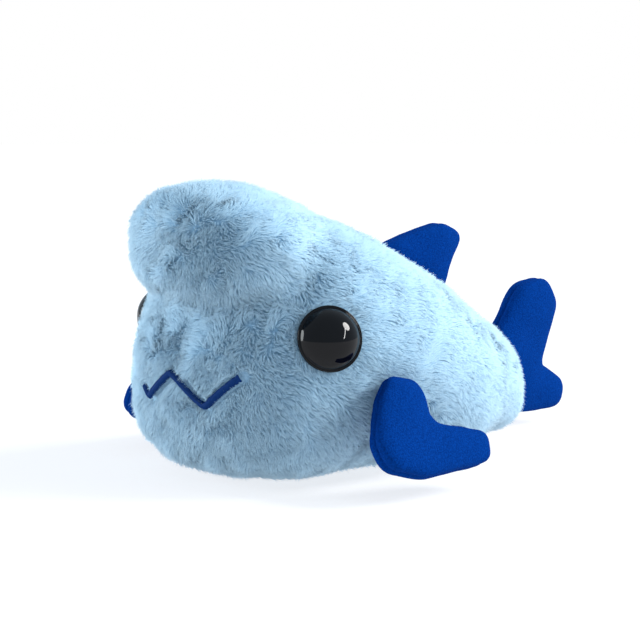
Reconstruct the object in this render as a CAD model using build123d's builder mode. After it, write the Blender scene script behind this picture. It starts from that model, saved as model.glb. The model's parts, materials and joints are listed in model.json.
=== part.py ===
"""Plush shark: a stuffed toy with sewn-on padded fins, press-in button eyes and a stitched zigzag mouth.

Millimetres. +Z is up, the snout points along -Y, and the shark's left side is +X.
The origin is under the middle of the whole toy, on the surface that it rests on.
A station is a distance behind the front of the muzzle. Every piece is made at its station and height first,
and the finished pieces are moved together at the end, so that the origin is in the middle.
"""

from build123d import *

import os
from math import asin, copysign, cos, degrees, radians, sin

# Body covering. Its thickness is the fabric and its pile together.
skin_thickness = 5.0
stuffing_gap = 0.25
seam_gap = 0.12
rest_height = 2.0
section_points = 16
low_fullness = 2.5
high_fullness = 2.15
widest_height_share = 0.44

# Trunk sections: station, half width, lowest height, highest height.
trunk_sections = [
    (0.0, 12.0, 41.0, 67.0),
    (4.0, 31.0, 24.0, 82.0),
    (12.0, 47.0, 11.0, 95.0),
    (26.0, 60.0, 3.0, 111.0),
    (46.0, 69.5, 0.0, 126.0),
    (72.0, 75.0, 0.0, 127.5),
    (100.0, 75.5, 0.0, 118.0),
    (130.0, 70.0, 0.8, 102.0),
    (158.0, 60.0, 3.0, 85.0),
    (186.0, 47.0, 6.0, 68.0),
    (202.0, 35.0, 8.5, 57.0),
    (209.5, 23.0, 15.0, 47.0),
    (212.5, 10.0, 23.0, 38.0),
]
# Snout sections, in the same columns. The snout overhangs the muzzle and runs back into the forehead.
snout_sections = [
    (-6.0, 11.0, 106.0, 124.0),
    (-2.0, 29.0, 95.0, 135.0),
    (7.0, 42.5, 87.0, 140.5),
    (25.0, 50.0, 83.0, 142.5),
    (46.0, 47.0, 88.0, 138.5),
    (66.0, 34.0, 99.0, 132.5),
    (80.0, 18.0, 108.0, 126.5),
]

# Button eyes: a dome and rim on a ribbed shank, held by a lock washer inside the covering.
eye_diameter = 30.0
eye_dome_height = 8.5
eye_rim_height = 2.4
eye_sink = 3.0
eye_station = 40.5
eye_height = 74.0
shank_radius = 2.4
shank_length = 15.0
shank_rib_radius = 2.75
shank_rib_pitch = 2.2
shank_rib_width = 0.9
shank_rib_count = 3
washer_radius = 9.0
washer_thickness = 1.2
washer_hub_radius = 4.4
washer_hub_height = 1.6
eye_clearance = 0.3
washer_clearance = 0.1

# Stitched mouth: (sideways, height) of the hand-sewn zigzag's corners, from the right side to the left.
mouth_corners = [(-23.5, 46.5), (-18.5, 42.0), (-2.0, 55.0), (21.5, 42.0), (39.5, 57.0)]
mouth_width = 3.6
mouth_stand = 0.5
mouth_sink = 1.2
mouth_clearance = 0.1

# Padded fins: two fabric panels over a stuffing, hinged on the seam that holds them.
fabric_thickness = 1.6
fin_gap = 0.8
fin_edge_share = 0.9
root_corner_radius = 6.2
tab_thickness = 3.0
tab_depth = 13.0
tab_margin = 4.0
tab_clearance = 0.15

# Each fin's root runs between two places on the body. Its outline has straight sides with rounded corners, given
# as (along the root, away from the body, corner radius). The far corners are measured from the root's far end and
# the near corners from its near end, and together they go round the fin from the far end to the near end.
pectoral_front_station = 62.0
pectoral_front_height = 49.4
pectoral_rear_station = 78.5
pectoral_rear_height = 45.6
pectoral_droop = 62.0
pectoral_thickness = 11.0
pectoral_far_corners = [(4.0, 19.0, 8.0), (37.5, 19.0, 6.5), (36.0, 32.5, 6.5)]
pectoral_near_corners = [(14.0, 44.0, 28.0), (-7.5, 43.5, 10.0), (-12.0, 31.0, 12.0), (-5.5, 10.0, 18.0)]

dorsal_front_station = 128.0
dorsal_rear_station = 171.0
dorsal_thickness = 11.0
dorsal_far_corners = [(-4.0, 20.0, 30.0), (-3.5, 34.5, 8.2)]
dorsal_near_corners = [(31.0, 32.5, 13.0), (13.5, 15.5, 30.0)]

tail_low_height = 16.0
tail_high_height = 50.0
tail_thickness = 12.0
tail_far_corners = [(28.0, 24.0, 16.0), (29.0, 43.5, 10.0), (14.0, 51.0, 10.0)]
tail_near_corners = [(17.0, 36.0, 5.0), (4.0, 54.5, 8.0), (-8.5, 50.0, 7.5), (-7.0, 21.0, 40.0)]

# Seams between the covering's panels, as (station, height). The belly seam holds the pectoral fins.
belly_seam = [
    (-30.0, 8.0),
    (18.0, 15.0),
    (44.0, 38.0),
    (pectoral_front_station, pectoral_front_height),
    (pectoral_rear_station, pectoral_rear_height),
    (120.0, 40.0),
    (250.0, 26.0),
]
snout_seam = [(-30.0, 56.2), (78.0, 150.0)]

# Ladder stitches that close the stuffing opening, across the right belly seam.
stitch_count = 9
stitch_pitch = 4.5
stitch_length = 5.0
stitch_radius = 0.45
stitch_clearance = 0.05
stitch_station = 122.0

# How far cutters reach, past anything that they cut.
reach = 400.0


def section_outline(half_width, z_low, z_high):
    """Points round one closed body section, wider low down than high up."""
    middle = z_low + widest_height_share * (z_high - z_low)
    outline = []
    for step in range(section_points):
        turn = radians(360.0 * step / section_points)
        high = sin(turn) >= 0
        fullness = high_fullness if high else low_fullness
        height = z_high - middle if high else middle - z_low
        across = copysign(abs(cos(turn)) ** (2 / fullness), cos(turn))
        up = copysign(abs(sin(turn)) ** (2 / fullness), sin(turn))
        outline.append((half_width * across, middle + height * up))
    return outline


def lofted(sections, inset):
    """A solid through the sections, with its surface moved in by inset all round."""
    first, last = sections[0][0], sections[-1][0]
    half_length = (last - first) / 2
    centre = (last + first) / 2
    with BuildPart() as body:
        for station, half_width, z_low, z_high in sections:
            place = centre + (station - centre) * (half_length - inset) / half_length
            with BuildSketch(Plane.XZ.offset(-place)):
                with BuildLine():
                    Spline(*section_outline(half_width - inset, z_low + inset, z_high - inset), periodic=True)
                make_face()
        loft()
    return body.part


def body_solid(inset):
    """Trunk and snout as one solid with a flat base, with its surface moved in by inset."""
    with BuildPart() as body:
        add(lofted(trunk_sections, inset))
        add(lofted(snout_sections, inset))
        split(bisect_by=Plane.XY.offset(rest_height + inset), keep=Keep.TOP)
    return body.part


covering_outside = body_solid(0.0)
covering_shell = covering_outside.shell()


def leaving_point(origin, direction):
    """Where a line in the given direction last leaves the body."""
    hits = covering_shell.find_intersection_points(Axis(origin, direction))
    return max(hits, key=lambda hit: hit[0].dot(Vector(*direction)))


def root_plane(start, end, away, thickness):
    """A plane on a fin's root: x runs along the root, y leads away, and the fin clears the body above it."""
    along = (end - start).normalized()
    outward = (away - along * away.dot(along)).normalized()
    side = along.cross(outward)
    bulge = 0.0
    for share in (0.0, 0.25, 0.5, 0.75, 1.0):
        for offset_share in (-0.5, 0.0, 0.5):
            base = start + (end - start) * share + side * offset_share * thickness
            bulge = max(bulge, (leaving_point(base, outward)[0] - start).dot(outward))
    return Plane(start + outward * (bulge + fin_gap), x_dir=along, z_dir=side)


def leaned_plane(root, thickness, angle):
    """The root plane turned by an angle about the hinge line, which is half a thickness away from the root."""
    hinge = root.origin + root.y_dir * thickness / 2
    outward = root.y_dir.rotate(Axis((0, 0, 0), root.x_dir), angle)
    return Plane(hinge - outward * thickness / 2, x_dir=root.x_dir, z_dir=root.x_dir.cross(outward))


def fin_corners(root_length, far_corners, near_corners):
    """All the corners of a fin's outline, as (along the root, away from the body, corner radius)."""
    root = [(0.0, 0.0, root_corner_radius), (root_length, 0.0, root_corner_radius)]
    return root + [(root_length + along, away, radius) for along, away, radius in far_corners] + near_corners


def fin_solid(plane, corners, thickness, inset):
    """A padded fin with rounded edges, on its own middle plane, with its surface moved in by inset."""
    half = thickness / 2 - inset
    with BuildPart() as fin:
        with BuildSketch(plane):
            with BuildLine():
                places = [(along, away) for along, away, radius in corners]
                FilletPolyline(*places, radius=[radius for along, away, radius in corners], close=True)
            make_face()
            if inset > 0:
                offset(amount=-inset)
        extrude(amount=half, both=True)
        fillet(fin.edges().filter_by(plane), radius=half * fin_edge_share)
    return fin.part


def fin_panel(plane, corners, thickness, keep):
    """One of a fin's two fabric panels, on the given side of its middle plane."""
    with BuildPart() as panel:
        add(fin_solid(plane, corners, thickness, 0.0))
        add(fin_solid(plane, corners, thickness, fabric_thickness), mode=Mode.SUBTRACT)
        split(bisect_by=plane, keep=keep)
    return panel.part


def fin_stuffing(plane, corners, thickness):
    """The stuffing inside a fin."""
    return fin_solid(plane, corners, thickness, fabric_thickness + stuffing_gap)


def root_tab(root, root_length, clearance):
    """The fin's seam allowance, which runs in through the body's seam from just under its surface."""
    with BuildPart() as tab:
        with BuildSketch(root):
            with Locations((root_length / 2, -fin_gap - tab_depth / 2)):
                Rectangle(root_length - 2 * tab_margin + 2 * clearance, tab_depth + 2 * clearance)
        extrude(amount=tab_thickness / 2 + clearance, both=True)
    return tab.part


# Where each fin is sewn on. The right pectoral fin mirrors the left one.
left = Vector(1, 0, 0)
pectoral_start = leaving_point((0, pectoral_front_station, pectoral_front_height), (1, 0, 0))[0]
pectoral_end = leaving_point((0, pectoral_rear_station, pectoral_rear_height), (1, 0, 0))[0]
pectoral_root = root_plane(pectoral_start, pectoral_end, left, pectoral_thickness)
pectoral_length = (pectoral_end - pectoral_start).length
pectoral_plane = leaned_plane(pectoral_root, pectoral_thickness, pectoral_droop)
pectoral_corners = fin_corners(pectoral_length, pectoral_far_corners, pectoral_near_corners)

dorsal_start = leaving_point((0, dorsal_front_station, eye_height), (0, 0, 1))[0]
dorsal_end = leaving_point((0, dorsal_rear_station, tail_high_height), (0, 0, 1))[0]
dorsal_root = root_plane(dorsal_start, dorsal_end, Vector(0, 0, 1), dorsal_thickness)
dorsal_length = (dorsal_end - dorsal_start).length
dorsal_corners = fin_corners(dorsal_length, dorsal_far_corners, dorsal_near_corners)

tail_start = leaving_point((0, dorsal_rear_station, tail_low_height), (0, 1, 0))[0]
tail_end = leaving_point((0, dorsal_rear_station, tail_high_height), (0, 1, 0))[0]
tail_root = root_plane(tail_start, tail_end, Vector(0, 1, 0), tail_thickness)
tail_length = (tail_end - tail_start).length
tail_corners = fin_corners(tail_length, tail_far_corners, tail_near_corners)

root_tabs = [
    root_tab(pectoral_root, pectoral_length, tab_clearance),
    mirror(root_tab(pectoral_root, pectoral_length, tab_clearance), about=Plane.YZ),
    root_tab(dorsal_root, dorsal_length, tab_clearance),
    root_tab(tail_root, tail_length, tab_clearance),
]

# Where the left eye sits: z leads out of the body. The right eye mirrors it.
eye_point, eye_normal = leaving_point((0, eye_station, eye_height), (1, 0, 0))
eye_plane = Plane(eye_point, x_dir=(0, 0, 1), z_dir=eye_normal)
washer_top = -skin_thickness
washer_bottom = washer_top - washer_thickness
shank_end = -eye_sink - shank_length


def disc(plane, radius, low, high):
    """A round disc between two heights above a plane."""
    with BuildPart() as round_disc:
        with BuildSketch(plane.offset(low)):
            Circle(radius)
        extrude(amount=high - low)
    return round_disc.part


def eye_cutter():
    """The room that an eye needs in the covering: its rim's seat, its shank's hole and its washer's seat."""
    with BuildPart() as cutter:
        add(disc(eye_plane, eye_diameter / 2 + eye_clearance, -eye_sink, eye_dome_height + skin_thickness))
        add(disc(eye_plane, shank_rib_radius + eye_clearance, shank_end, 0.0))
        add(disc(eye_plane, washer_radius + eye_clearance, washer_bottom - skin_thickness, washer_top))
    return cutter.part


def washer_pocket():
    """The room that a washer and a shank need in the stuffing."""
    floor = washer_bottom - washer_hub_height - eye_clearance
    with BuildPart() as pocket:
        add(disc(eye_plane, washer_radius + 2 * eye_clearance, floor, 0.0))
        add(disc(eye_plane, shank_rib_radius + 2 * eye_clearance, shank_end - eye_clearance, floor))
    return pocket.part


def button_eye():
    """A domed eye with a rim and a ribbed shank, turned from one profile."""
    radius = eye_diameter / 2
    rim_top = eye_rim_height - eye_sink
    dome_radius = (radius ** 2 + eye_dome_height ** 2) / (2 * eye_dome_height)
    dome_angle = degrees(asin(radius / dome_radius))
    with BuildPart() as eye:
        with BuildSketch(Plane.XZ):
            with BuildLine():
                dome_centre = (0, rim_top + eye_dome_height - dome_radius)
                CenterArc(dome_centre, dome_radius, start_angle=90 - dome_angle, arc_size=dome_angle)
                Polyline((0, rim_top + eye_dome_height), (0, -eye_sink), (radius, -eye_sink), (radius, rim_top))
            make_face()
            with Locations((shank_radius / 2, -eye_sink - shank_length / 2)):
                Rectangle(shank_radius, shank_length)
            for rib in range(shank_rib_count):
                rib_top = washer_bottom - washer_clearance - rib * shank_rib_pitch
                with Locations((shank_rib_radius / 2, rib_top - shank_rib_width / 2)):
                    Rectangle(shank_rib_radius, shank_rib_width)
        revolve(axis=Axis.Z)
    return eye_plane * eye.part


def lock_washer():
    """A washer with a hub, which the shank's ribs keep from sliding off."""
    with BuildPart() as washer:
        with BuildSketch(Plane.XY.offset(washer_bottom)):
            Circle(washer_radius)
            Circle(shank_radius + washer_clearance, mode=Mode.SUBTRACT)
        extrude(amount=washer_thickness - washer_clearance)
        with BuildSketch(Plane.XY.offset(washer_bottom)):
            Circle(washer_hub_radius)
            Circle(shank_rib_radius + washer_clearance, mode=Mode.SUBTRACT)
        extrude(amount=-washer_hub_height)
    return eye_plane * washer.part


def mouth_band(stand, sink, width):
    """The mouth's zigzag, as a band that follows the muzzle from under its surface to above it."""
    with BuildPart() as band:
        with BuildSketch(Plane.XZ.offset(reach / 10)):
            with BuildLine():
                Polyline(*mouth_corners)
            trace(line_width=width)
        extrude(amount=-reach / 10 - eye_station)
        add(body_solid(-stand), mode=Mode.INTERSECT)
        add(body_solid(sink), mode=Mode.SUBTRACT)
    return band.part


def stitches(radius, length):
    """Ladder stitches on the right belly seam, as rods that lie half in the covering."""
    with BuildPart() as rods:
        for index in range(stitch_count):
            station = stitch_station + index * stitch_pitch
            foot, outward = leaving_point((0, station, seam_height(station)), (-1, 0, 0))
            across = Vector(0, 1, 0).cross(outward).normalized()
            with BuildSketch(Plane(foot, x_dir=outward, z_dir=across).offset(-length / 2)):
                Circle(radius)
            extrude(amount=length)
    return rods.part


def seam_curve(lift):
    """The belly seam's curve, raised by lift, on the toy's middle plane."""
    return Spline(*[(0, station, height + lift) for station, height in belly_seam])


def seam_height(station):
    """Height of the belly seam at a station."""
    crossing = seam_curve(0.0).intersect(Axis((0, station, 0), (0, 0, 1)))
    return crossing.vertices()[0].Z


def below_belly_seam(lift):
    """Everything below the belly seam raised by lift."""
    with BuildPart() as region:
        with BuildSketch(Plane.YZ.offset(-reach / 2)):
            with BuildLine():
                seam = Spline(*[(station, height + lift) for station, height in belly_seam])
                Polyline(seam @ 1, (belly_seam[-1][0], -reach), (belly_seam[0][0], -reach), seam @ 0)
            make_face()
        extrude(amount=reach)
    return region.part


def before_snout_seam(shift):
    """Everything in front of the snout seam moved back by shift."""
    (low_station, low_height), (high_station, high_height) = snout_seam
    with BuildPart() as region:
        with BuildSketch(Plane.YZ.offset(-reach / 2)):
            with BuildLine():
                Polyline(
                    (low_station + shift, low_height),
                    (high_station + shift, high_height),
                    (high_station + shift, reach),
                    (low_station + shift, reach),
                    close=True,
                )
            make_face()
        extrude(amount=reach)
    return region.part


def region_of(solid, region, keep_inside):
    """The part of a solid that is inside a region, or the part that is outside it."""
    with BuildPart() as part:
        add(solid)
        add(region, mode=Mode.INTERSECT if keep_inside else Mode.SUBTRACT)
    return part.part


# The whole covering, with the room for everything that goes through it or lies in it.
with BuildPart() as covering:
    add(covering_outside)
    add(body_solid(skin_thickness), mode=Mode.SUBTRACT)
    for tab in root_tabs:
        add(tab, mode=Mode.SUBTRACT)
    add(eye_cutter(), mode=Mode.SUBTRACT)
    add(mirror(eye_cutter(), about=Plane.YZ), mode=Mode.SUBTRACT)
    mouth_room = mouth_band(skin_thickness, mouth_sink + mouth_clearance, mouth_width + 2 * mouth_clearance)
    add(mouth_room, mode=Mode.SUBTRACT)
    add(stitches(stitch_radius + stitch_clearance, stitch_length + 2 * stitch_clearance), mode=Mode.SUBTRACT)

upper_covering = region_of(covering.part, below_belly_seam(seam_gap), keep_inside=False)

with BuildPart() as belly_panel:
    add(region_of(covering.part, below_belly_seam(0.0), keep_inside=True))
belly_panel.part.label = "belly_panel"

with BuildPart() as snout_panel:
    add(region_of(upper_covering, before_snout_seam(0.0), keep_inside=True))
snout_panel.part.label = "snout_panel"

side_covering = region_of(upper_covering, before_snout_seam(seam_gap), keep_inside=False)

with BuildPart() as left_side_panel:
    add(side_covering)
    split(bisect_by=Plane.YZ.offset(seam_gap / 2), keep=Keep.TOP)
left_side_panel.part.label = "left_side_panel"

with BuildPart() as right_side_panel:
    add(side_covering)
    split(bisect_by=Plane.YZ.offset(-seam_gap / 2), keep=Keep.BOTTOM)
right_side_panel.part.label = "right_side_panel"

with BuildPart() as body_stuffing:
    add(body_solid(skin_thickness + stuffing_gap))
    for tab in root_tabs:
        add(tab, mode=Mode.SUBTRACT)
    add(washer_pocket(), mode=Mode.SUBTRACT)
    add(mirror(washer_pocket(), about=Plane.YZ), mode=Mode.SUBTRACT)
body_stuffing.part.label = "body_stuffing"

with BuildPart() as left_eye:
    add(button_eye())
left_eye.part.label = "left_eye"

with BuildPart() as right_eye:
    add(mirror(left_eye.part, about=Plane.YZ))
right_eye.part.label = "right_eye"

with BuildPart() as left_eye_washer:
    add(lock_washer())
left_eye_washer.part.label = "left_eye_washer"

with BuildPart() as right_eye_washer:
    add(mirror(left_eye_washer.part, about=Plane.YZ))
right_eye_washer.part.label = "right_eye_washer"

with BuildPart() as mouth_stitching:
    add(mouth_band(mouth_stand, mouth_sink, mouth_width))
mouth_stitching.part.label = "mouth_stitching"

with BuildPart() as closing_stitches:
    add(stitches(stitch_radius, stitch_length))
closing_stitches.part.label = "closing_stitches"

pieces = [belly_panel.part, snout_panel.part, left_side_panel.part, right_side_panel.part, body_stuffing.part,
          left_eye.part, right_eye.part, left_eye_washer.part, right_eye_washer.part, mouth_stitching.part,
          closing_stitches.part]

# Each fin: its name, its place, its corners, its thickness, and its panels' names in the order top, bottom.
fins = [
    ("left_pectoral", pectoral_plane, pectoral_corners, pectoral_thickness, ("lower", "upper")),
    ("dorsal", dorsal_root, dorsal_corners, dorsal_thickness, ("left", "right")),
    ("tail", tail_root, tail_corners, tail_thickness, ("right", "left")),
]
for name, plane, corners, thickness, sides in fins:
    for side, keep in zip(sides, (Keep.TOP, Keep.BOTTOM)):
        with BuildPart() as panel:
            add(fin_panel(plane, corners, thickness, keep))
        panel.part.label = f"{name}_{side}_panel"
        pieces.append(panel.part)
    with BuildPart() as stuffing:
        add(fin_stuffing(plane, corners, thickness))
    stuffing.part.label = f"{name}_stuffing"
    pieces.append(stuffing.part)

tabs = [("left_pectoral", pectoral_root, pectoral_length), ("dorsal", dorsal_root, dorsal_length),
        ("tail", tail_root, tail_length)]
for name, root, root_length in tabs:
    with BuildPart() as tab:
        add(root_tab(root, root_length, 0.0))
    tab.part.label = f"{name}_root_tab"
    pieces.append(tab.part)

for piece in [piece for piece in pieces if piece.label.startswith("left_pectoral")]:
    with BuildPart() as mirrored:
        add(mirror(piece, about=Plane.YZ))
    mirrored.part.label = piece.label.replace("left", "right")
    pieces.append(mirrored.part)

# Move everything together, so that the origin is under the middle of the toy, on its flat base.
low_station = min(piece.bounding_box().min.Y for piece in pieces)
high_station = max(piece.bounding_box().max.Y for piece in pieces)
to_origin = Location((0, -(low_station + high_station) / 2, -rest_height))

os.makedirs("parts", exist_ok=True)
for piece in pieces:
    placed = piece.moved(to_origin)
    placed.label = piece.label
    export_step(placed, f"parts/{piece.label}.step")

hinges = [("left_pectoral", pectoral_root, pectoral_thickness), ("dorsal", dorsal_root, dorsal_thickness),
          ("tail", tail_root, tail_thickness)]
for name, root, thickness in hinges:
    hinge = root.origin + root.y_dir * thickness / 2 + to_origin.position
    print(name, "hinge passes", hinge, "along", root.x_dir, "fin leads", root.y_dir)
print("eye at", eye_point + to_origin.position, "facing", eye_normal)
print("stations are moved by", to_origin.position)
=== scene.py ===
"""Plush shark: long-pile body, fleece fins, button eyes and a stitched mouth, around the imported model."""
import json
from math import cos, pi, radians, sin

import bmesh
import bpy
import numpy as np
from mathutils import Matrix, Vector, bvhtree, kdtree
from mathutils.geometry import delaunay_2d_cdt


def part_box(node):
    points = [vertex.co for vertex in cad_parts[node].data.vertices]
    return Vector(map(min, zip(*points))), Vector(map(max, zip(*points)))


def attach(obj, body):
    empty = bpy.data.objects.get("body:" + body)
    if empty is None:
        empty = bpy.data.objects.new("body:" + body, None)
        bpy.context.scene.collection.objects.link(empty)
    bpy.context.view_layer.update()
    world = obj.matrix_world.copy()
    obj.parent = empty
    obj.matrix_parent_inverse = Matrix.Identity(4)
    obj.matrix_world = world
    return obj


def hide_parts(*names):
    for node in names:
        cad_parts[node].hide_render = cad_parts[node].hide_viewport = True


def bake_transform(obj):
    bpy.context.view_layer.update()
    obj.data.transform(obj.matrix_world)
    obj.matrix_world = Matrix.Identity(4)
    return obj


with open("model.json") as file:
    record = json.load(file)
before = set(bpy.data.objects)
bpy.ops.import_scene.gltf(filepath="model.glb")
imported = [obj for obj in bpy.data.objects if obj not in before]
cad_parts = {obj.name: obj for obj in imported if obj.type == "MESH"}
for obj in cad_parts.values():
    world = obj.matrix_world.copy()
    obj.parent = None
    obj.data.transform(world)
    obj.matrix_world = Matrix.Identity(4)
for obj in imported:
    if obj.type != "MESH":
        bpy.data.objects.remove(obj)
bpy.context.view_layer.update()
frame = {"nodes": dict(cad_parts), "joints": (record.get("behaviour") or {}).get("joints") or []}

MM = 0.001

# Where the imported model's stations start, and how far its base was cut: station 0 is the muzzle's front.
STATION_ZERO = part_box("left_side_panel")[0][1]
BASE_CUT = 2.0 * MM

# Seams, as (station, height) in millimetres.
BELLY_SEAM = [(-30.0, 8.0), (18.0, 15.0), (44.0, 38.0), (62.0, 49.4), (78.5, 45.6), (120.0, 40.0),
              (250.0, 26.0)]
SNOUT_SEAM = [(-30.0, 56.2), (78.0, 150.0)]

# The mouth's line, as (millimetres to the toy's left, height), seen from the front.
MOUTH_CORNERS = [(-23.5, 46.5), (-18.5, 42.0), (-2.0, 55.0), (21.5, 42.0), (39.5, 57.0)]

# Eyes: the place on the body and the direction they face, for the left eye.
EYE_PLACE = Vector((65.44, -90.09, 72.0)) * MM
EYE_AXIS = Vector((0.88095, -0.41665, 0.22433)).normalized()
EYE_RADIUS = 15.0 * MM
EYE_SINK = 3.0 * MM
EYE_RIM = 2.4 * MM
EYE_DOME = 8.5 * MM

# Body fabric: the backing lies under the pile's tips.
PILE_DEPTH = 3.8 * MM
BACKING = 1.1 * MM
FORM_VOXEL = 2.0 * MM
STRANDS_PER_MM2 = 3.2
STRAND_LENGTH = 5.2 * MM
STRAND_HALF_WIDTH = 0.17 * MM
STRANDS_PER_PIECE = 19000
CLUMP_AREA_MM2 = 7.0
CLUMP_MATCH = 0.3         # how far up its length a strand is matched to a clump
PILE_LEAN = 0.50          # radians from straight out, at a strand's root
PILE_CURL = 0.50          # how much further its tip leans
EYE_CLEARANCE = 13.2 * MM
MOUTH_CLEARANCE = 1.9 * MM
LOWEST_BACKING = 2.6 * MM
MOUTH_BACK = 40 * MM      # behind this station nothing is near the mouth
EYE_REACH = 25 * MM       # further along an eye's axis nothing is near the eye

PANELS = ["belly", "snout", "left_side", "right_side"]

JOINTS = {joint["name"]: joint for joint in frame["joints"]}
MIRROR = np.array([-1.0, 1.0, 1.0])

rng = np.random.default_rng(11)


# ---------------------------------------------------------------- helpers

def unit(vectors):
    """Rows scaled to length 1."""
    return vectors / np.maximum(np.linalg.norm(vectors, axis=-1, keepdims=True), 1e-12)


def waves(points, size, seed, count=7):
    """Smooth noise of about -1 to 1 at each point, with features about size metres across."""
    source = np.random.default_rng(seed)
    directions = unit(source.normal(size=(count, 3))) * (2 * pi / size) * source.uniform(0.6, 1.5, (count, 1))
    phases = source.uniform(0, 2 * pi, count)
    return np.sin(points @ directions.T + phases).sum(axis=1) / np.sqrt(count)


def wave_vectors(points, size, seed):
    """A smooth noise vector at each point."""
    return np.stack([waves(points, size, seed + part) for part in range(3)], axis=1)


def link(obj):
    bpy.context.scene.collection.objects.link(obj)
    return obj


def select_only(obj):
    for other in bpy.context.selected_objects:
        other.select_set(False)
    obj.select_set(True)
    bpy.context.view_layer.objects.active = obj


def mesh_arrays(mesh):
    """Vertex places, vertex normals and triangles of a mesh, as arrays."""
    mesh.calc_loop_triangles()
    places = np.empty(len(mesh.vertices) * 3)
    mesh.vertices.foreach_get("co", places)
    normals = np.empty(len(mesh.vertices) * 3)
    mesh.vertex_normals.foreach_get("vector", normals)
    triangles = np.empty(len(mesh.loop_triangles) * 3, dtype=np.int32)
    mesh.loop_triangles.foreach_get("vertices", triangles)
    return places.reshape(-1, 3), normals.reshape(-1, 3), triangles.reshape(-1, 3)


def set_places(mesh, places):
    mesh.vertices.foreach_set("co", np.ascontiguousarray(places, dtype=np.float32).ravel())
    mesh.update()


def fade(distance, start, span):
    """A column that is 1 up to start and falls to 0 over span."""
    return np.clip(1 - (distance - start) / span, 0, 1)[:, None]


def neighbour_smooth(mesh, places, rounds, share=0.5):
    """Places with each vertex moved towards the mean of its neighbours."""
    edges = np.empty(len(mesh.edges) * 2, dtype=np.int32)
    mesh.edges.foreach_get("vertices", edges)
    edges = edges.reshape(-1, 2)
    counts = np.bincount(edges.ravel(), minlength=len(places))[:, None]
    for _ in range(rounds):
        total = np.zeros_like(places)
        for axis in range(3):
            total[:, axis] = np.bincount(edges[:, 0], places[edges[:, 1], axis], len(places))
            total[:, axis] += np.bincount(edges[:, 1], places[edges[:, 0], axis], len(places))
        places = places + share * (total / np.maximum(counts, 1) - places)
    return places


def voxel_form(name, sources, voxel):
    """One closed mesh round the outside of copies of other meshes."""
    shell = bmesh.new()
    for source in sources:
        shell.from_mesh(source)
    mesh = bpy.data.meshes.new(name)
    shell.to_mesh(mesh)
    shell.free()
    obj = link(bpy.data.objects.new(name, mesh))
    remesh = obj.modifiers.new("remesh", "REMESH")
    remesh.mode = "VOXEL"
    remesh.voxel_size = voxel
    select_only(obj)
    bpy.ops.object.modifier_apply(modifier=remesh.name)
    keep_largest_island(obj.data)
    return obj


def keep_largest_island(mesh):
    """Removes the small closed shells that gaps inside the model leave."""
    work = bmesh.new()
    work.from_mesh(mesh)
    left = set(work.verts)
    islands = []
    while left:
        stack = [left.pop()]
        island = []
        while stack:
            vertex = stack.pop()
            island.append(vertex)
            for edge in vertex.link_edges:
                other = edge.other_vert(vertex)
                if other in left:
                    left.remove(other)
                    stack.append(other)
        islands.append(island)
    islands.sort(key=len)
    for island in islands[:-1]:
        bmesh.ops.delete(work, geom=island, context="VERTS")
    work.to_mesh(mesh)
    work.free()


def new_mesh_object(name, places, faces, material, smooth=True):
    """An object from vertex places and a list of faces."""
    mesh = bpy.data.meshes.new(name)
    mesh.from_pydata([tuple(place) for place in places], [], [tuple(face) for face in faces])
    mesh.validate()
    for polygon in mesh.polygons:
        polygon.use_smooth = smooth
    mesh.materials.append(material)
    return link(bpy.data.objects.new(name, mesh))


# A strand's faces by vertex, in order: its root's cap, three sides, then three up to the tip.
STRAND_FACES = [(2, 1, 0), (0, 1, 4, 3), (1, 2, 5, 4), (2, 0, 3, 5), (3, 4, 6), (4, 5, 6), (5, 3, 6)]
STRAND_VERTICES = 7


def strand_mesh(name, roots, middles, tips, shading, half_width, tones, material):
    """Closed tapering strands, each with three-sided rings at its root and middle and one point at its tip.

    The UV map holds a strand's tone across, and the way from its root to its tip up."""
    count = len(roots)
    along = unit(tips - roots)
    side = unit(np.cross(along, shading) + 1e-9)
    other = np.cross(along, side)
    angles = np.array([0.0, 2 * pi / 3, 4 * pi / 3])
    ring = side[:, None, :] * np.cos(angles)[None, :, None]
    ring = ring + other[:, None, :] * np.sin(angles)[None, :, None]
    width = half_width[:, None, None]
    vertices = np.empty((count, STRAND_VERTICES, 3))
    vertices[:, 0:3] = roots[:, None, :] + ring * width
    vertices[:, 3:6] = middles[:, None, :] + ring * width * 0.85
    vertices[:, 6] = tips
    pattern = np.array([vertex for face in STRAND_FACES for vertex in face], dtype=np.int64)
    sizes = np.array([len(face) for face in STRAND_FACES])
    loops = (pattern[None, :] + STRAND_VERTICES * np.arange(count)[:, None]).ravel()
    totals = np.tile(sizes, count)
    starts = np.concatenate([[0], np.cumsum(totals)[:-1]])
    mesh = bpy.data.meshes.new(name)
    mesh.vertices.add(count * STRAND_VERTICES)
    mesh.vertices.foreach_set("co", vertices.astype(np.float32).ravel())
    mesh.loops.add(len(loops))
    mesh.loops.foreach_set("vertex_index", loops.astype(np.int32))
    mesh.polygons.add(len(starts))
    mesh.polygons.foreach_set("loop_start", starts.astype(np.int32))
    mesh.update(calc_edges=True)
    mesh.polygons.foreach_set("use_smooth", np.ones(len(starts), dtype=bool))
    heights = np.array([0.02, 0.02, 0.02, 0.55, 0.55, 0.55, 0.98])
    spread = np.array([-0.006, 0.0, 0.006, -0.006, 0.0, 0.006, 0.0])
    across = np.clip(tones[:, None] + spread[None, :], 0.0, 1.0)
    uv = np.stack([across, np.broadcast_to(heights, across.shape)], axis=2).reshape(-1, 2)
    layer = mesh.uv_layers.new(name="OFBake")
    layer.uv.foreach_set("vector", uv[loops].astype(np.float32).ravel())
    blended = unit(ring * 0.55 + shading[:, None, :] * 0.9)
    normals = np.concatenate([blended, blended, unit(shading)[:, None, :]], axis=1).reshape(-1, 3)
    mesh.normals_split_custom_set_from_vertices(normals.tolist())
    mesh.materials.append(material)
    return link(bpy.data.objects.new(name, mesh))


# ---------------------------------------------------------------- materials

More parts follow.
